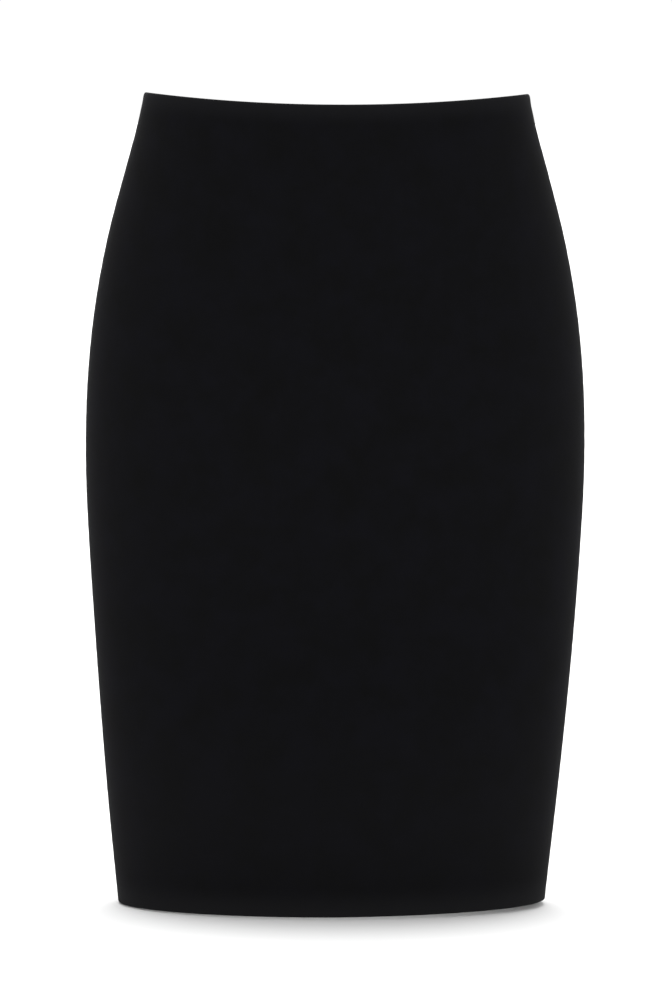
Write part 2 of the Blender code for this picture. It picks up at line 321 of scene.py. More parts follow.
def puckerHeight(turn, drop):
    # A slight waviness along the seams, uneven from one seam to the next.
    height = 0
    pucker = skirt["pucker"]
    least, most = pucker["uneven"]
    for seam, phase in pucker["seams"]:
        reach = np.exp(-((awayFrom(turn, seam) * sizeAt("front", drop) / pucker["reach"]) ** 2))
        wave = 2 * math.pi * drop / pucker["pitch"] + phase
        uneven = (most + least) / 2 + (most - least) / 2 * np.sin(pucker["swells"] * wave + 2 * phase)
        height = height + pucker["high"] * reach * uneven * np.sin(wave)
    return height


def place(turn, drop, depth):
    # A point this deep in from the skirt's outer face.
    turn, drop, depth = np.broadcast_arrays(turn, drop, depth)
    lift = creaseHeight(turn, drop) + puckerHeight(turn, drop) - depth
    return outside(turn, drop) + outward(turn, drop) * lift[..., None]


def fromSide(distance, drop, part):
    offset = distance / sizeAt(part, drop)
    return quarter - offset if part == "front" else quarter + offset


def fromBack(distance, drop):
    return halfTurn - np.arcsin(distance / sizeAt("width", drop))


def backEdge(drop):
    # Each back panel's distance from the centre back. The zip's two sides part at the top.
    half = sewing["seamGap"] / 2
    return half + (zipSizes["parted"] - half) * np.maximum(1 - drop / zipSizes["parts"], 0)


# Materials
def addNode(tree, kind, **settings):
    made = tree.nodes.new("ShaderNode" + kind)
    for key, value in settings.items():
        setattr(made, key, value)
    return made


def feed(tree, socket, value):
    if isinstance(value, bpy.types.NodeSocket):
        tree.links.new(value, socket)
    else:
        socket.default_value = value


def setInputs(node, **values):
    for key, value in values.items():
        node.inputs[key].default_value = value


def maths(tree, operation, *values):
    made = addNode(tree, "Math", operation=operation)
    for socket, value in zip(made.inputs, values):
        feed(tree, socket, value)
    return made.outputs[0]


def ramp(tree, value, low, high, lowest, highest):
    made = addNode(tree, "MapRange", interpolation_type="SMOOTHSTEP")
    for socket, given in zip(made.inputs, (value, low, high, lowest, highest)):
        feed(tree, socket, given)
    return made.outputs["Result"]


def noise(tree, vector, scale, detail, roughness):
    made = addNode(tree, "TexNoise")
    feed(tree, made.inputs["Vector"], vector)
    setInputs(made, Scale=scale, Detail=detail, Roughness=roughness)
    return made.outputs["Fac"]


def blend(tree, share, low, high):
    # From one colour to the other, either of which may come from another node.
    made = addNode(tree, "Mix", data_type="RGBA")
    feed(tree, made.inputs["Factor"], share)
    for socket, colour in ((made.inputs[6], low), (made.inputs[7], high)):
        feed(tree, socket, colour if isinstance(colour, bpy.types.NodeSocket) else (*colour, 1))
    return made.outputs[2]


def newMaterial(name):
    made = bpy.data.materials.new(name)
    made.use_nodes = True
    return made, made.node_tree, made.node_tree.nodes["Principled BSDF"]


def bumpNode(tree, shader, height, strength, distance):
    bump = addNode(tree, "Bump")
    setInputs(bump, Strength=strength, Distance=distance)
    feed(tree, bump.inputs["Height"], height)
    feed(tree, shader.inputs["Normal"], bump.outputs[0])


def grainInMm(tree):
    # Millimetres across and down the flat cloth.
    grain = addNode(tree, "UVMap", uv_map="grain")
    scaled = addNode(tree, "VectorMath", operation="SCALE")
    feed(tree, scaled.inputs[0], grain.outputs[0])
    scaled.inputs["Scale"].default_value = 1 / mm
    return scaled.outputs[0]


# The cloth: a close black crepe. Lighter colour is painted along the outside of its waist edge and its
# hem as painted highlight, and over its lower skirt as painted light.
crepe = {
    "yarn": 0.42,  # millimetres from one thread to the next
    # Its unevenness, by the lumps to a millimetre
    "pebble": {"scale": 1 / 1.3, "detail": 3, "roughness": 0.6},
    "fuzz": {"scale": 3.1, "detail": 2, "roughness": 0.7},
    "mottle": {"scale": 0.028, "detail": 7, "roughness": 0.74},
    "relief": {"weave": 0.3, "pebble": 1.2, "strength": 0.7, "high": 0.06 * mm},
    "dark": (0.0033, 0.0033, 0.0031),
    "light": (0.0048, 0.0048, 0.0065),
    # The colour of the painted highlight at the waist edge and hem and the painted light on the lower
    # skirt
    "pressed": (0.0115, 0.0115, 0.0124),
    # How much of the painted light colour shows above and below each stretch, in millimetres down the
    # cloth from the raw edge inside the waist: painted highlight below the waist edge, painted highlight
    # along the hem, and last, painted light that pales the lower skirt.
    "bands": (
        {"from": 25, "to": 42, "above": 0.42, "below": 0},
        {"from": 594, "to": 622, "above": 0, "below": 0.9},
        {"from": 430, "to": 600, "above": 0, "below": 0.18},
    ),
    "roughness": (0.74, 0.90),
    "specular": 0.018,
    "sheen": 0.0108,
    "sheenRoughness": 0.45,
}
noiseMiddle = (0.3, 0.7)  # where most of a noise's values lie


def crepeCloth():
    made, tree, shader = newMaterial("black crepe")
    at = grainInMm(tree)
    split = addNode(tree, "SeparateXYZ")
    feed(tree, split.inputs[0], at)
    turns = 2 * math.pi / crepe["yarn"]
    warp = maths(tree, "SINE", maths(tree, "MULTIPLY", split.outputs["X"], turns))
    weft = maths(tree, "SINE", maths(tree, "MULTIPLY", split.outputs["Y"], turns))
    weave = maths(tree, "MULTIPLY", warp, weft)
    pebble = noise(tree, at, **crepe["pebble"])
    fuzz = noise(tree, at, **crepe["fuzz"])
    mottle = ramp(tree, noise(tree, at, **crepe["mottle"]), *noiseMiddle, 0, 1)
    relief = crepe["relief"]
    raised = maths(tree, "MULTIPLY", pebble, relief["pebble"])
    height = maths(tree, "MULTIPLY_ADD", weave, relief["weave"], raised)
    bumpNode(tree, shader, height, relief["strength"], relief["high"])
    tone = maths(tree, "ADD", maths(tree, "MULTIPLY", fuzz, 0.5), maths(tree, "MULTIPLY", mottle, 0.5))
    colour = blend(tree, tone, crepe["dark"], crepe["light"])
    share = 0
    # Painted highlight at the waist edge and the hem, and painted light over the lower skirt
    for band in crepe["bands"]:
        part = ramp(tree, split.outputs["Y"], band["from"], band["to"], band["above"], band["below"])
        share = maths(tree, "ADD", share, part)
    # Blends the painted light colour into the cloth's own colour
    feed(tree, shader.inputs["Base Color"], blend(tree, share, colour, crepe["pressed"]))
    feed(tree, shader.inputs["Roughness"], ramp(tree, pebble, *noiseMiddle, *crepe["roughness"]))
    shader.inputs["Specular IOR Level"].default_value = crepe["specular"]
    shader.inputs["Sheen Weight"].default_value = crepe["sheen"]
    shader.inputs["Sheen Roughness"].default_value = crepe["sheenRoughness"]
    return made


# The other finishes: by what share the colour varies, in how many lumps to a metre, and the
# roughness and specular level of its polish
haberdashery = {
    "nylon": {"colour": (0.010, 0.010, 0.011), "varies": 0.2, "lumps": 400, "polish": (0.38, 0.5)},
    "enamel": {"colour": (0.009, 0.009, 0.010), "varies": 0.12, "lumps": 900, "polish": (0.24, 0.5)},
    "thread": {"colour": (0.0085, 0.0085, 0.0095), "varies": 0.25, "lumps": 1500, "polish": (0.6, 0.25)},
}
tapeFinish = {
    "dark": (0.004875, 0.004875, 0.0054),
    "light": (0.0065, 0.0065, 0.0072),
    "roughness": 0.8,
    "specular": 0.15,
    "ribs": 9.5,  # radians to a millimetre across
    "slant": (6, 9),  # and of the twill, across and down
    "relief": {"ribs": 0.6, "strength": 0.6, "high": 0.08 * mm},
}


def plainMaterial(kind):
    made, tree, shader = newMaterial(f"black {kind}")
    finish = haberdashery[kind]
    at = addNode(tree, "TexCoord").outputs["Object"]
    uneven = noise(tree, at, finish["lumps"], 3, 0.6)
    dark = [channel * (1 - finish["varies"]) for channel in finish["colour"]]
    light = [channel * (1 + finish["varies"]) for channel in finish["colour"]]
    feed(tree, shader.inputs["Base Color"], blend(tree, uneven, dark, light))
    rough, specular = finish["polish"]
    feed(tree, shader.inputs["Roughness"], ramp(tree, uneven, *noiseMiddle, rough * 0.85, rough * 1.15))
    shader.inputs["Specular IOR Level"].default_value = specular
    return made


def tapeMaterial():
    # Woven tape, with its ribs across.
    made, tree, shader = newMaterial("zip tape")
    split = addNode(tree, "SeparateXYZ")
    feed(tree, split.inputs[0], grainInMm(tree))
    across, down = split.outputs["X"], split.outputs["Y"]
    ribs = maths(tree, "SINE", maths(tree, "MULTIPLY", across, tapeFinish["ribs"]))
    slantAcross, slantDown = tapeFinish["slant"]
    slant = maths(tree, "MULTIPLY_ADD", across, slantAcross, maths(tree, "MULTIPLY", down, slantDown))
    relief = tapeFinish["relief"]
    height = maths(tree, "MULTIPLY_ADD", ribs, relief["ribs"], maths(tree, "SINE", slant))
    bumpNode(tree, shader, height, relief["strength"], relief["high"])
    feed(tree, shader.inputs["Base Color"], blend(tree, height, tapeFinish["dark"], tapeFinish["light"]))
    shader.inputs["Roughness"].default_value = tapeFinish["roughness"]
    shader.inputs["Specular IOR Level"].default_value = tapeFinish["specular"]
    return made


blackCrepe = crepeCloth()
zipTape = tapeMaterial()
nylon = plainMaterial("nylon")
enamel = plainMaterial("enamel")
thread = plainMaterial("thread")
print("Materials are made")


# Meshes
def addPiece(name, mesh, material, replaced=(), body="skirt"):
    made = addObject(name, mesh)
    skirtOnly.objects.link(made)
    mesh.materials.append(material)
    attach(made, body)
    if replaced:
        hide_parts(*replaced)
    return made


def smooth(mesh, angle):
    mesh.shade_smooth()
    mesh.set_sharp_from_angle(angle=math.radians(angle))


def steps(start, end, spacing=sewing["spacing"]):
    count = max(math.ceil(abs(end - start) / spacing), 1)
    return np.linspace(start, end, count + 1)


def runLengths(points, axis):
    sides = np.linalg.norm(np.diff(points, axis=axis), axis=-1)
    pad = [(0, 0), (0, 0)]
    pad[axis] = (1, 0)
    return np.pad(np.cumsum(sides, axis=axis), pad)


def closedSheet(name, faceSide, wrongSide, keep):
    # A sheet of cloth between two grids of points, with the cells that keep marks. Its grain map
    # holds metres across and down the flat cloth.
    rows, columns = faceSide.shape[:2]
    count = rows * columns
    points = np.concatenate((faceSide.reshape(-1, 3), wrongSide.reshape(-1, 3)))
    index = np.arange(count).reshape(rows, columns)
    ring = np.stack((index[:-1, :-1], index[1:, :-1], index[1:, 1:], index[:-1, 1:]), axis=-1)
    quads = [ring[keep], ring[keep][:, ::-1] + count]
    padded = np.pad(keep, 1)
    besides = (padded[1:-1, :-2], padded[2:, 1:-1], padded[1:-1, 2:], padded[:-2, 1:-1])
    for k, beside in enumerate(besides):
        bare = keep & ~beside
        start, end = ring[bare][:, k], ring[bare][:, (k + 1) % 4]
        quads.append(np.stack((end, start, start + count, end + count), axis=-1))
    quads = np.concatenate(quads)
    used, renumbered = np.unique(quads, return_inverse=True)
    middle = (faceSide + wrongSide) / 2
    along = runLengths(middle, 1)
    along = along - along[:, columns // 2][:, None]
    down = np.broadcast_to(runLengths(middle, 0)[:, columns // 2][:, None], along.shape)
    grain = np.tile(np.stack((along, down), axis=-1).reshape(-1, 2), (2, 1))
    mesh = bpy.data.meshes.new(name)
    mesh.from_pydata(points[used].tolist(), [], renumbered.reshape(quads.shape).tolist())
    uv = mesh.uv_layers.new(name="grain")
    uv.data.foreach_set("uv", grain[quads.ravel()].ravel())
    facesOutwards(mesh)
    smooth(mesh, 50)
    print(f"{name}: {len(quads) * 2} triangles, {along.max() - along.min():.3f} x {down.max():.3f} m")
    return mesh


def facesOutwards(mesh):
    bm = bmesh.new()
    bm.from_mesh(mesh)
    bmesh.ops.recalc_face_normals(bm, faces=bm.faces)
    bm.to_mesh(mesh)
    bm.free()


# The panels. Each is one sheet, turned in at the waist and the hem and along its seams.
def clothPath():
    # Rows down the middle of the cloth: up inside the turned waist, over the edge, down the
    # outside, under the hem and up inside again.
    length, radius = skirt["length"], sewing["foldRadius"]
    fine, close = sewing["fine"]["reach"], sewing["fine"]["spacing"]
    fold = sewing["thick"] / 2 + radius
    bend = np.linspace(0, halfTurn, 9)

    def straight(out, drops):
        return [(drop, fold + radius * out, 0, out, (1 - out) / 2) for drop in drops]

    def turned(start, down, angles):
        made = []
        for a in angles:
            on, out = down * math.sin(a), math.cos(a)
            made.append((start + radius * on, fold + radius * out, on, out, (1 - out) / 2))
        return made

    rows = straight(1, steps(sewing["waistTurn"], fine)) + straight(1, steps(fine, fold, close)[1:])
    rows += turned(fold, -1, bend[1:])
    rows += straight(-1, steps(fold, fine, close)[1:]) + straight(-1, steps(fine, length - fold)[1:])
    rows += turned(length - fold, 1, bend[-2::-1])
    rows += straight(1, steps(length - fold, length - sewing["hemTurn"])[1:])
    names = ("drop", "depth", "faceDrop", "faceDepth", "outer")
    path = {name: np.array(column)[:, None] for name, column in zip(names, zip(*rows))}
    path["plain"] = path["outer"] >= 1
    # The waist edge leans in a little.
    lean = sewing["edgeLean"]
    path["depth"] = path["depth"] + lean["in"] * np.maximum(1 - path["drop"] / lean["tall"], 0) ** 2
    return path


path = clothPath()
folded, cutOff, goesOn = 0, 1, 2  # what a row of cloth does at a panel's edge


def edgeColumns(action, width, reach=0):
    # Columns from inside a panel to its edge and round it: each point's distance in from the
    # edge, its added depth, and the way the right side of the cloth faces there.
    radius, half = sewing["seamRadius"], sewing["thick"] / 2
    centre = radius + half
    near = sewing["near"]
    bend = np.linspace(0, halfTurn, 7)
    share = np.linspace(0, 1, 6)[1:]
    flat, around, back = 0 * near, np.sin(bend), 0 * share
    ending = 0 * np.concatenate((bend[1:], share)) if reach else share[:0]
    rows = len(action)
    wide = np.broadcast_to(width, (rows, 1))

    def level(*parts):
        return np.concatenate([np.broadcast_to(part, (rows, len(part))) for part in parts], axis=1)

    strip = centre + (wide - centre) * share
    closes = 3  # columns over which a cut edge closes
    shut = np.minimum(np.arange(len(bend)) / closes, 1)
    distance = np.where(
        action == folded,
        np.concatenate((level(near, centre - radius * around), strip, level(ending)), axis=1),
        level(near, centre * (1 - sewing["shut"]["share"] * shut), back, ending),
    )
    extra = np.where(
        action == folded,
        level(flat, radius * (1 - np.cos(bend)), back + 2 * radius, ending),
        level(flat, sewing["shut"]["deep"] * shut**2, back, ending),
    )
    faceAcross = np.where(action == folded, level(flat, -around, back, ending), 0)
    faceDepth = np.where(action == folded, level(flat - 1, -np.cos(bend), back + 1, ending), -1)
    same = (action[1:] == action[:-1]) & (action[1:] != cutOff)
    columns = distance.shape[1]
    inner = np.arange(columns - 1)[None] < len(near) + closes
    keep = inner | same
    if reach:
        # The cloth goes on past this edge, and its own edge is turned under.
        far = reach - centre
        beyond = np.linspace(centre, -vent["underlapNear"], len(bend))
        rest = -vent["underlapNear"] - (far - vent["underlapNear"]) * share
        end = -far - radius * around[1:]
        under = -far + vent["underlapTurn"] * share
        goes = action == goesOn
        distance = np.where(goes, level(near, beyond, rest, end, under), distance)
        extra = np.where(
            goes,
            level(flat, 0 * bend, back, radius * (1 - np.cos(bend[1:])), back + 2 * radius),
            extra,
        )
        faceAcross = np.where(goes, level(flat, 0 * bend, back, -around[1:], back), faceAcross)
        faceDepth = np.where(
            goes, level(flat - 1, 0 * bend - 1, back - 1, -np.cos(bend[1:]), back + 1), faceDepth
        )
        last = np.arange(columns - 1)[None] >= len(near) + len(bend) + len(share) - 1
        bothPlain = path["plain"][1:] & path["plain"][:-1]
        keep = np.where(last, same & goes[1:] & bothPlain, keep)
    made = {"distance": distance, "extra": extra, "keep": keep}
    return made | {"faceAcross": faceAcross, "faceDepth": faceDepth}


def bandLift(distance, reach):
    # The turned band at the waist or the hem climbs over the cloth turned in at a seam.
    climb = sewing["climb"]
    lift = 2 * sewing["thick"] + climb["clear"] - 2 * sewing["foldRadius"]
    return (1 - path["outer"]) * lift * (1 - ease((distance - reach) / climb["run"]))


def panel(name, turnsAt, edges, middle, extra, node):
    # edges run from the middle outwards, and the first of them comes first. turnsAt gives the
    # turns of all columns with the two edges moved by an offset of the cloth's thickness.
    half = sewing["thick"] / 2
    first, last = edges

    def joined(key, between):
        between = np.full((len(path["drop"]), middle), between)
        return np.concatenate((first[key][:, ::-1], between, last[key]), axis=1)

    across = np.where(path["plain"], joined("faceAcross", 0.0), 0)
    facing = np.where(path["plain"], joined("faceDepth", -1.0), path["faceDepth"])
    dropping = np.where(path["plain"], 0, path["faceDrop"])
    depth = path["depth"] + extra

    def side(sign):
        turns = turnsAt(sign * half * across)
        return place(turns, path["drop"] + sign * half * dropping, depth + sign * half * facing)

    cells = np.ones((len(path["drop"]) - 1, middle + 1), bool)
    keep = np.concatenate((first["keep"][:, ::-1], cells, last["keep"]), axis=1)
    mesh = closedSheet(name, side(1), side(-1), keep)
    return addPiece(name, mesh, blackCrepe, (node,))


def frontPanel():
    drop = path["drop"]
    action = np.where(path["plain"], folded, cutOff)
    edge = edgeColumns(action, sewing["allowance"])
    count = 112  # columns between the two edges
    share = np.linspace(1, -1, count + 2)[None, 1:-1]
    added = edge["extra"] + bandLift(edge["distance"], sewing["allowance"])
    extra = np.concatenate((added[:, ::-1], np.zeros((len(drop), count)), added), axis=1)

    def turnsAt(offset):
        size = edge["distance"].shape[1]
        gap = sewing["seamGap"] / 2
        left = fromSide(edge["distance"] + offset[:, :size][:, ::-1] + gap, drop, "front")
        right = fromSide(edge["distance"] + offset[:, -size:] + gap, drop, "front")
        inner = fromSide(edge["distance"][:, :1] + gap, drop, "front")
        return np.concatenate((left[:, ::-1], inner * share, -right), axis=1)

    return panel("front", turnsAt, (edge, edge), count, extra, "front_panel")


def dartSunk(distance, drop):
    # A pressed line on the outside that runs out at the dart's point.
    away = distance - dartLine(drop)
    straight = dart["straight"] * dart["long"]
    fades = 1 - ease((drop - straight) / (dart["long"] - straight))
    starts = ease(drop / dart["starts"])
    return dart["sunk"] * fades * starts * np.exp(-((away / dart["half"]) ** 2))


def dartLine(drop):
    return dart["fromBack"] + dart["spreads"] * drop / dart["long"]


def facingWide(drop):
    # The left back's turned-in cloth at the centre back, which widens to face the vent.
    widens = ease((drop - vent["top"] + vent["widens"]["above"]) / vent["widens"]["run"])
    return sewing["allowance"] + (vent["facing"] - sewing["allowance"]) * widens


def againstTape(drop):
    # How much deeper the turned-in cloth lies beside the zip, against its tape.
    against = zipSizes["against"]
    starts = ease((drop - against["from"]) / against["run"])
    return against["deep"] * starts * (1 - ease((drop - zipSizes["end"]) / against["runOut"]))


nowhere = -1  # a distance no cloth reaches


def backPanel(name, side, node):
    drop = path["drop"]
    besideVent = drop > vent["tucked"]
    action = np.where(path["plain"], folded, cutOff)
    sideEdge = edgeColumns(action, sewing["allowance"])
    if side > 0:
        centreEdge = edgeColumns(action, facingWide(drop))
        reach = np.where(besideVent, vent["facing"], sewing["allowance"])
    else:
        action = np.where(drop <= vent["top"], action, cutOff)
        action = np.where(besideVent, goesOn, action)
        centreEdge = edgeColumns(action, sewing["allowance"], vent["underlap"])
        reach = np.where(besideVent, nowhere, sewing["allowance"])
    before, after = 24, 12  # columns either side of the dart's
    count = before + len(dart["near"]) + after

    first = fromSide(sideEdge["distance"][:, :1], drop, "back")
    at = fromBack(dartLine(drop) - dart["near"], drop)
    last = fromBack(centreEdge["distance"][:, :1] + backEdge(drop), drop)
    one = first + (at[:, :1] - first) * np.linspace(0, 1, before + 2)[1:-1]
    two = at[:, -1:] + (last - at[:, -1:]) * np.linspace(0, 1, after + 2)[1:-1]
    middle = np.concatenate((one, at, two), axis=1)
    fromCentre = np.sin(halfTurn - middle) * sizeAt("width", drop)
    sunkMiddle = path["outer"] * dartSunk(fromCentre, drop)
    sunkSide = sideEdge["extra"] + bandLift(sideEdge["distance"], sewing["allowance"])
    distance = centreEdge["distance"]
    sunkCentre = centreEdge["extra"] + bandLift(distance, reach)
    onStrip = centreEdge["faceDepth"] > 0.99
    if side < 0:
        lapped = ease((drop - vent["top"]) / (vent["tucked"] - vent["top"]))
        sunkCentre = sunkCentre + vent["depth"] * lapped * ease(1 - distance / vent["run"])
        onStrip = onStrip & (drop < vent["top"])
    stitched = zipSizes["stitched"]
    taped = path["plain"] * againstTape(drop)
    sunkCentre = sunkCentre + onStrip * taped * ease((distance - stitched["start"]) / stitched["run"])
    extra = np.concatenate((sunkSide[:, ::-1], sunkMiddle, sunkCentre), axis=1)

    def turnsAt(offset):
        size = sideEdge["distance"].shape[1]
        gap = sewing["seamGap"] / 2
        atSide = fromSide(sideEdge["distance"] + offset[:, :size][:, ::-1] + gap, drop, "back")
        atCentre = fromBack(centreEdge["distance"] + offset[:, size + count :] + backEdge(drop), drop)
        return side * np.concatenate((atSide[:, ::-1], middle, atCentre), axis=1)

    return panel(name, turnsAt, (sideEdge, centreEdge), count, extra, node)


front = frontPanel()
backLeft = backPanel("back_left", 1, "back_left_panel")
backRight = backPanel("back_right", -1, "back_right_panel")
print("Panels are made")


# Threads and cords, gathered from parts that are each some points and some faces
def meshOf(name, parts):
    points, faces, count = [], [], 0
    for partPoints, partFaces in parts:
        points += partPoints.tolist()
        faces += [tuple(i + count for i in face) for face in partFaces]
        count += len(partPoints)
    mesh = bpy.data.meshes.new(name)
    mesh.from_pydata(points, [], faces)
    facesOutwards(mesh)
    smooth(mesh, 60)
    print(f"{name}: {sum(len(face) - 2 for face in faces)} triangles")
    return mesh


def cords(points, outs, radius, sides=4):
    # Round cords through rows of points. outs says which way is away from the cloth.
    run = np.gradient(points, axis=1)
    run = run / np.linalg.norm(run, axis=-1, keepdims=True)
    aside = np.cross(run, outs)
    aside = aside / np.linalg.norm(aside, axis=-1, keepdims=True)
    up = np.cross(aside, run)
    turns = np.arange(sides) * 2 * math.pi / sides
    ring = np.cos(turns)[:, None] * up[:, :, None] + np.sin(turns)[:, None] * aside[:, :, None]
    made = points[:, :, None] + radius * ring
    count, length = points.shape[:2]
    index = np.arange(count * length * sides).reshape(count, length, sides)
    beside = np.roll(index, -1, axis=2)
    quads = np.stack((index[:, :-1], beside[:, :-1], beside[:, 1:], index[:, 1:]), axis=-1)
    faces = quads.reshape(-1, 4).tolist()
    faces += index[:, 0].tolist() + index[:, -1].tolist()
    return made.reshape(-1, 3), faces


def onCloth(turn, drop, depth):
    # Points and outward directions on the inside of the skirt, as one row.
    turn, drop, depth = np.broadcast_arrays(turn, drop, depth)
    return place(turn, drop, depth)[None], -outward(turn, drop)[None]


threads = {
    "radius": 0.13 * mm,
    "overlock": {
        "pitch": 2.6 * mm,
        "wide": 4.2 * mm,
        # The corners of a stitch: shares of the pitch and the width, and how far off each stands
        "along": np.array((0, 0.28, 0.5, 0.72)),
        "inward": np.array((1, 0.35, -0.03, 0.35)),
        "off": np.array((0.02, 0.1, -0.05, 0.1)) * mm,
        "twist": 0.06 * mm,
        "bandOff": 0.3 * mm,  # from a turned band
        "bandClimb": 0.72 * mm,
    },
    "closing": {"pitch": 3 * mm, "clear": 1.5 * mm, "overZip": 12 * mm},
    "zip": {
        "pitch": 2.8 * mm,
        "fromCoil": (5.5 * mm, 9.5 * mm),
        "clear": 4 * mm,
        "along": np.array((0, 0.12, 0.4, 0.68, 0.8)),
        "off": np.array((-0.05, 0.1, 0.14, 0.1, -0.05)) * mm,
    },
}


def overlock(at, run):
    # Thread over a raw edge: a zigzag, with a line of stitches at each side of it. The function at
    # gives a place on the skirt from the distance along the edge and the distance in from it.
    stitch = threads["overlock"]
    pitch, wide = stitch["pitch"], stitch["wide"]
    count = int(run / pitch)

    def cord(along, inward, off):
        turn, drop, depth = at(along, inward)
        return cords(*onCloth(turn, drop, depth + off), threads["radius"])

    corners = (np.arange(count)[:, None] * pitch + pitch * stitch["along"]).ravel()
    zigzag = cord(corners, np.tile(wide * stitch["inward"], count), np.tile(stitch["off"], count))
    along = np.arange(0, count * pitch, pitch / 2)
    twist = stitch["twist"] * np.cos(np.arange(len(along)) * math.pi)
    return [zigzag, cord(along, wide, twist), cord(along, 0, twist)]


def bandThread(rawDrop, inwards, start, end):
    # Overlock round the raw edge of the turned waist or hem.
    layer = 2 * sewing["thick"] + threads["overlock"]["bandOff"]
    part = "front" if abs(start + end) / 2 < quarter else "back"
    run = abs(end - start) * (sizeAt("width", rawDrop) + sizeAt(part, rawDrop)) / 2

    def climb(distance, reach):
        return 1 - ease((distance - reach) / sewing["climb"]["run"])

    def at(along, inward):
        turn = start + along * (end - start) / run
        fromCentre = (halfTurn - np.abs(turn)) * sizeAt("width", rawDrop)
        fromSeam = np.abs(np.abs(turn) - quarter) * sizeAt("front", rawDrop)
        reach, lapped = sewing["allowance"], 0
        if rawDrop > vent["top"]:
            reach = np.where(turn > 0, vent["facing"], nowhere)
            lapped = (turn < 0) * vent["depth"] * ease(1 - fromCentre / vent["run"])
        lift = np.maximum(climb(fromSeam, sewing["allowance"]), climb(fromCentre, reach))
        depth = layer + threads["overlock"]["bandClimb"] * lift * (lapped == 0) + lapped
        return turn, rawDrop + inwards * inward, depth

    return overlock(at, run)


def seamThread(turnOf, wide, start, end, depth):
    # Overlock down the raw edge of an allowance. turnOf gives the turn from the distance in from
    # the seam and the drop.
    def at(along, inward):
        drop = start + along
        return turnOf(wide(drop) - inward, drop), drop, depth(drop)

    return overlock(at, end - start)


def closingThread(turn, start, end):
    # The stitches that join two panels, out of sight between their folds.
    drop = np.arange(start, end, threads["closing"]["pitch"])
    depth = sewing["thick"] / 2 + sewing["seamRadius"]
    return cords(*onCloth(turn, drop, depth), threads["radius"])


# How far the overlock of the turned bands ends from the seams, as turns, and from the tapes and
# the underlap's edge
bands = {"beside": 0.004, "besideBack": 0.008, "short": 1 * mm}
length = skirt["length"]
waistRaw, hemRaw = sewing["waistTurn"], length - sewing["hemTurn"]
frontBand, backBand = quarter - bands["beside"], quarter + bands["beside"]
atTape = float(fromBack(zipSizes["tapeWidth"] + bands["short"], waistRaw))
atLap = float(fromBack(-vent["underlap"] + bands["short"], hemRaw))


def bandParts(rawDrop, inwards, leftEnd, rightEnd):
    parts = []
    for span in ((-frontBand, frontBand), (backBand, leftEnd), (-backBand, -rightEnd)):
        parts += bandThread(rawDrop, inwards, *span)
    return parts


def allowanceDepth(drop):
    return 2 * sewing["thick"] + 0.1 * mm


def tapedDepth(drop):
    return allowanceDepth(drop) + againstTape(drop)


def lapDepth(drop):
    return vent["depth"] + allowanceDepth(drop)


def seamWide(drop):
    return sewing["allowance"]


def lapWide(drop):
    return -vent["underlap"] + sewing["seamRadius"] + sewing["thick"] / 2 + vent["underlapTurn"]


def lapTurn(distance, drop):
    return -fromBack(distance, drop)


clear = threads["closing"]["clear"]
seamParts = [closingThread(turn, clear, length - clear) for turn in (quarter, -quarter)]
overZip = zipSizes["end"] - threads["closing"]["overZip"]
seamParts.append(closingThread(halfTurn, overZip, vent["top"]))
seamStart, seamEnd = waistRaw + 0.6 * mm, hemRaw - 0.6 * mm
for side in (1, -1):
    for part in ("front", "back"):

        def turnOf(distance, drop):
            return side * fromSide(distance, drop, part)

        seamParts += seamThread(turnOf, seamWide, seamStart, seamEnd, allowanceDepth)

    def backTurn(distance, drop):
        return side * fromBack(distance + backEdge(drop), drop)

    wide, stop = (facingWide, seamEnd) if side > 0 else (seamWide, vent["top"] - 1 * mm)
    seamParts += seamThread(backTurn, wide, seamStart, stop, tapedDepth)
seamParts += seamThread(lapTurn, lapWide, vent["tucked"] + 4 * mm, seamEnd, lapDepth)

waistParts = bandParts(waistRaw, -1, atTape, atTape)
hemParts = bandParts(hemRaw, 1, halfTurn - bands["besideBack"], atLap)
for name, parts in (("waist_thread", waistParts), ("hem_thread", hemParts), ("seam_thread", seamParts)):
    addPiece(name, meshOf(name, parts), thread)
print("Threads are made")


# The zip: two tapes, the closed coil, its bottom stop, the slider and its tab
coil = {
    "start": 13.8 * mm,
    "end": 196 * mm,
    "depth": 5.2 * mm,  # of its middle
    "pitch": 1.25 * mm,
    "loop": (1.05 * mm, 0.55 * mm),  # half sizes of a turn, across and through
    "aside": 0.75 * mm,  # of each side's middle from the centre back
    "radius": 0.21 * mm,
    "core": {"aside": 0.9 * mm, "radius": 0.3 * mm},  # the cord inside each side
}
tape = {
    "spacing": 2.5 * mm,
    "fromEdge": 0.15 * mm,  # of the cloth
    "selvedge": 0.15 * mm,  # how much deeper its inner edge lies
    "swell": {"high": 0.08 * mm, "long": 4.3 * mm},
}


def tapePiece(name, side, node):
    drop = steps(zipSizes["start"], zipSizes["end"], tape["spacing"])[:, None]
    share = np.linspace(0, 1, 9)
    near = backEdge(drop) + tape["fromEdge"]
    distance = near + (zipSizes["tapeWidth"] - near) * share
    swell = tape["swell"]["high"] * np.sin(drop / tape["swell"]["long"]) * share
    depth = zipSizes["tapeDepth"] + tape["selvedge"] * np.exp(-((share * 9) ** 2)) + swell
    turn = side * fromBack(distance, drop)
    keep = np.ones((len(drop) - 1, len(share) - 1), bool)
    outerSide = place(turn, drop, depth)
    mesh = closedSheet(name, outerSide, place(turn, drop, depth + zipSizes["tape"]), keep)
    return addPiece(name, mesh, zipTape, (node,))


def onZip(across, drop, depth):
    return onCloth(halfTurn - across / sizeAt("width", drop), drop, depth)


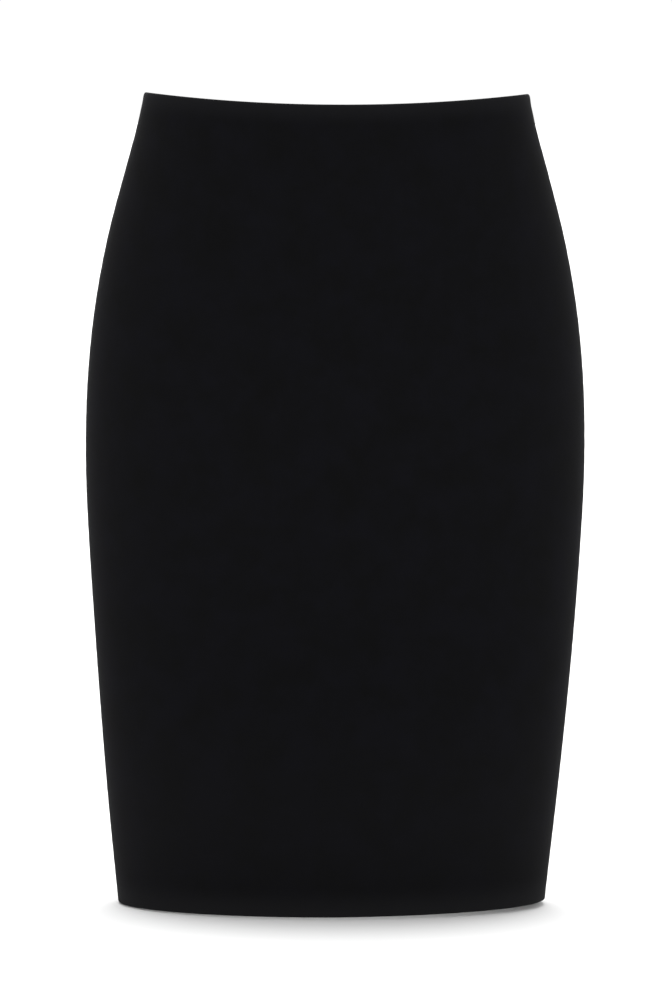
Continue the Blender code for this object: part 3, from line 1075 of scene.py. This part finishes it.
def coilParts():
    perTurn = 12
    count = int((coil["end"] - coil["start"]) / coil["pitch"]) * perTurn
    at = np.arange(count)
    drop = coil["start"] + 0.4 * mm + at * coil["pitch"] / perTurn
    parts = []
    for side in (1, -1):
        angle = side * at * 2 * math.pi / perTurn + (0 if side > 0 else math.pi)
        across = side * coil["aside"] + coil["loop"][0] * np.cos(angle)
        through = coil["loop"][1] * np.sin(angle)
        points, inwards = onZip(across, drop, coil["depth"] + through)
        outs = -through[None, :, None] * inwards + 1e-6
        outs = outs + across[None, :, None] * np.array((1.0, 0, 0))
        parts.append(cords(points, outs, coil["radius"], 6))
        core = onZip(side * coil["core"]["aside"], drop[::6], coil["depth"])
        parts.append(cords(*core, coil["core"]["radius"], 6))
    return parts


tapeLeft = tapePiece("tape_left", 1, "zip_tape_left")
tapeRight = tapePiece("tape_right", -1, "zip_tape_right")
addPiece("coil", meshOf("coil", coilParts()), nylon, ("zip_coil",))


def zipStitches():
    # Short stitches down each tape, beside the coil.
    stitch = threads["zip"]
    pitch, clear = stitch["pitch"], stitch["clear"]
    starts = np.arange(zipSizes["start"] + clear, zipSizes["end"] - clear, pitch)[:, None]
    drop = starts + pitch * stitch["along"]
    depth = zipSizes["tapeDepth"] + zipSizes["tape"] + stitch["off"]
    parts = []
    for side in (1, -1):
        for distance in stitch["fromCoil"]:
            turn = side * fromBack(distance, drop)
            parts.append(cords(place(turn, drop, depth), -outward(turn, drop), threads["radius"], 5))
    return parts


addPiece("zip_thread", meshOf("zip_thread", zipStitches()), thread)

# The slider and its tab are made upright at the tab's axis, +Y out of the cloth, then laid to it.
hardware = {
    "drop": 9 * mm,
    "proud": 1.6 * mm,  # the axis, of the cloth
    "body": (7 * mm, 3.6 * mm, 9 * mm),
    "bodyDepth": 7.8 * mm,  # of the body's middle below the axis
    "loop": {"radius": 2.15 * mm, "thick": 0.6 * mm},
    "plate": 0.85 * mm,  # the thickness of the body's two plates
    "neck": (1.2 * mm, 3.4 * mm),  # wide, tall
    "tab": {"thick": 1.15 * mm, "top": 0.6 * mm, "topHalf": 2.3 * mm, "end": 3.2 * mm, "drop": 16 * mm},
    "corner": 0.7 * mm,  # of the tab's upper edge
    "rounding": 0.32 * mm,  # of the tab's edges
    "window": {"half": 1.1 * mm, "start": 0.5 * mm, "end": 3.5 * mm},
    "windowPower": 0.45,  # below 1 it squares the oval's corners
}
# A clamped clip across the coil's lower end
clip = {
    "drop": 198.8 * mm,
    "proud": -5.55 * mm,
    "body": (4.8 * mm, 2.1 * mm, 4.6 * mm),
    "prong": (0.9 * mm, 1.5 * mm, 1.4 * mm),
    "prongAt": (1.5 * mm, 0.2 * mm),  # its middle aside, and above the lower end
}


def roundedBlock(bm, size, centre, rounding):
    made = bmesh.ops.create_cube(bm, size=1)["verts"]
    bmesh.ops.scale(bm, vec=size, verts=made)
    bmesh.ops.translate(bm, vec=centre, verts=made)
    edges = {edge for vert in made for edge in vert.link_edges}
    bmesh.ops.bevel(bm, geom=list(edges), offset=rounding, segments=4, profile=0.5, affect="EDGES")


def laidMesh(name, bm, lies):
    # Lays a piece made about the origin to the centre back, at its own drop.
    out = Vector(outward(np.array(halfTurn), np.array(lies["drop"])))
    at = Vector(outside(np.array(halfTurn), np.array(lies["drop"]))) + out * lies["proud"]
    bm.transform(Matrix.Translation(at) @ Matrix.Rotation(math.atan2(out.z, out.y), 4, "X"))
    bmesh.ops.recalc_face_normals(bm, faces=bm.faces)
    mesh = bpy.data.meshes.new(name)
    bm.to_mesh(mesh)
    bm.free()
    smooth(mesh, 42)
    return mesh


def joinRings(bm, rings):
    # Faces from each closed ring of points to the next, and from the last to the first.
    count = len(rings[0])
    for one, other in zip(rings, rings[1:] + rings[:1]):
        for j in range(count):
            n = (j + 1) % count
            bm.faces.new((one[j], one[n], other[n], other[j]))


def sliderMesh():
    bm = bmesh.new()
    wide, thick, tall = hardware["body"]
    deep = -hardware["bodyDepth"]
    plate = hardware["plate"]
    for sign in (1, -1):
        roundedBlock(bm, (wide, plate, tall), (0, deep + sign * (thick - plate) / 2, 0), 0.35 * mm)
        # The flanges that hold the coil in
        side = (sign * (wide / 2 - 0.45 * mm), deep, -1.2 * mm)
        roundedBlock(bm, (0.9 * mm, thick - 0.4 * mm, tall - 2.6 * mm), side, 0.3 * mm)
    roundedBlock(bm, (2.2 * mm, thick - 0.3 * mm, 3 * mm), (0, deep, tall / 2 - 1.9 * mm), 0.5 * mm)
    neckTop = -hardware["loop"]["radius"]
    neckFoot = deep + thick / 2 - 0.4 * mm
    neck = (hardware["neck"][0], neckTop - neckFoot, hardware["neck"][1])
    roundedBlock(bm, neck, (0, (neckTop + neckFoot) / 2, 0), 0.3 * mm)
    around, sides = 40, 14
    rings = []
    for a in np.arange(around) * 2 * math.pi / around:
        ring = []
        for b in np.arange(sides) * 2 * math.pi / sides:
            away = hardware["loop"]["radius"] + hardware["loop"]["thick"] * math.cos(b)
            up = hardware["loop"]["thick"] * math.sin(b)
            ring.append(bm.verts.new((up, away * math.cos(a), away * math.sin(a))))
        rings.append(ring)
    joinRings(bm, rings)
    return laidMesh("slider", bm, hardware)


def tabLoops():
    # The outline and the window, with as many points each, from the middle of the upper edge.
    tab, window = hardware["tab"], hardware["window"]
    lean = math.asin((tab["end"] - tab["topHalf"]) / tab["drop"])
    arc = np.linspace(-lean, quarter, 17)
    corner = hardware["corner"]
    outline = [(0, tab["top"]), (tab["topHalf"] - corner, tab["top"])]
    outline += [
        (tab["topHalf"] - corner + corner * math.sin(a), tab["top"] - corner + corner * math.cos(a))
        for a in (math.pi / 8, math.pi / 4, 3 * math.pi / 8, quarter)
    ]
    outline += [(tab["end"] * math.cos(a), -tab["drop"] - tab["end"] * math.sin(a)) for a in arc]
    middle = (window["start"] + window["end"]) / 2
    tall = (window["end"] - window["start"]) / 2
    hole = [(0, -window["start"])]
    power = hardware["windowPower"]
    for k in range(1, len(outline) - 1):
        a = math.pi * k / (len(outline) - 1)
        x = window["half"] * abs(math.sin(a)) ** power
        z = -middle + tall * math.copysign(abs(math.cos(a)) ** power, math.cos(a))
        hole.append((x, z))
    hole.append((0, -window["end"]))
    return [loop + [(-x, z) for x, z in reversed(loop[1:-1])] for loop in (outline, hole)]


def tabMesh():
    bm = bmesh.new()
    half, rounding = hardware["tab"]["thick"] / 2, hardware["rounding"]
    rings = []
    for loop, inwards in zip(tabLoops(), (1, -1)):
        loop = np.array(loop)
        run = np.roll(loop, -1, axis=0) - np.roll(loop, 1, axis=0)
        run = run / np.linalg.norm(run, axis=1, keepdims=True)
        side = np.stack((run[:, 1], -run[:, 0]), axis=1) * inwards
        for angle in np.linspace(-quarter, quarter, 7):
            inset = rounding * (1 - math.cos(angle))
            out = (half - rounding) * np.sign(angle) + rounding * math.sin(angle)
            flat = loop + side * inset
            rings.append([bm.verts.new((x, out, z)) for x, z in flat])
    joinRings(bm, rings[:7] + rings[:6:-1])
    return laidMesh("pull_tab", bm, hardware)


def bottomStop():
    bm = bmesh.new()
    roundedBlock(bm, clip["body"], (0, 0, 0), 0.55 * mm)
    aside, above = clip["prongAt"]
    for side in (1, -1):
        prong = (side * aside, 0, above - clip["body"][2] / 2)
        roundedBlock(bm, clip["prong"], prong, 0.3 * mm)
    return laidMesh("bottom_stop", bm, clip)


addPiece("bottom_stop", bottomStop(), enamel, ("zip_bottom_stop",))
addPiece("slider", sliderMesh(), enamel, ("zip_slider",))
addPiece("pull_tab", tabMesh(), enamel, ("zip_pull_tab",), "pull_tab")
print("Zip is made")
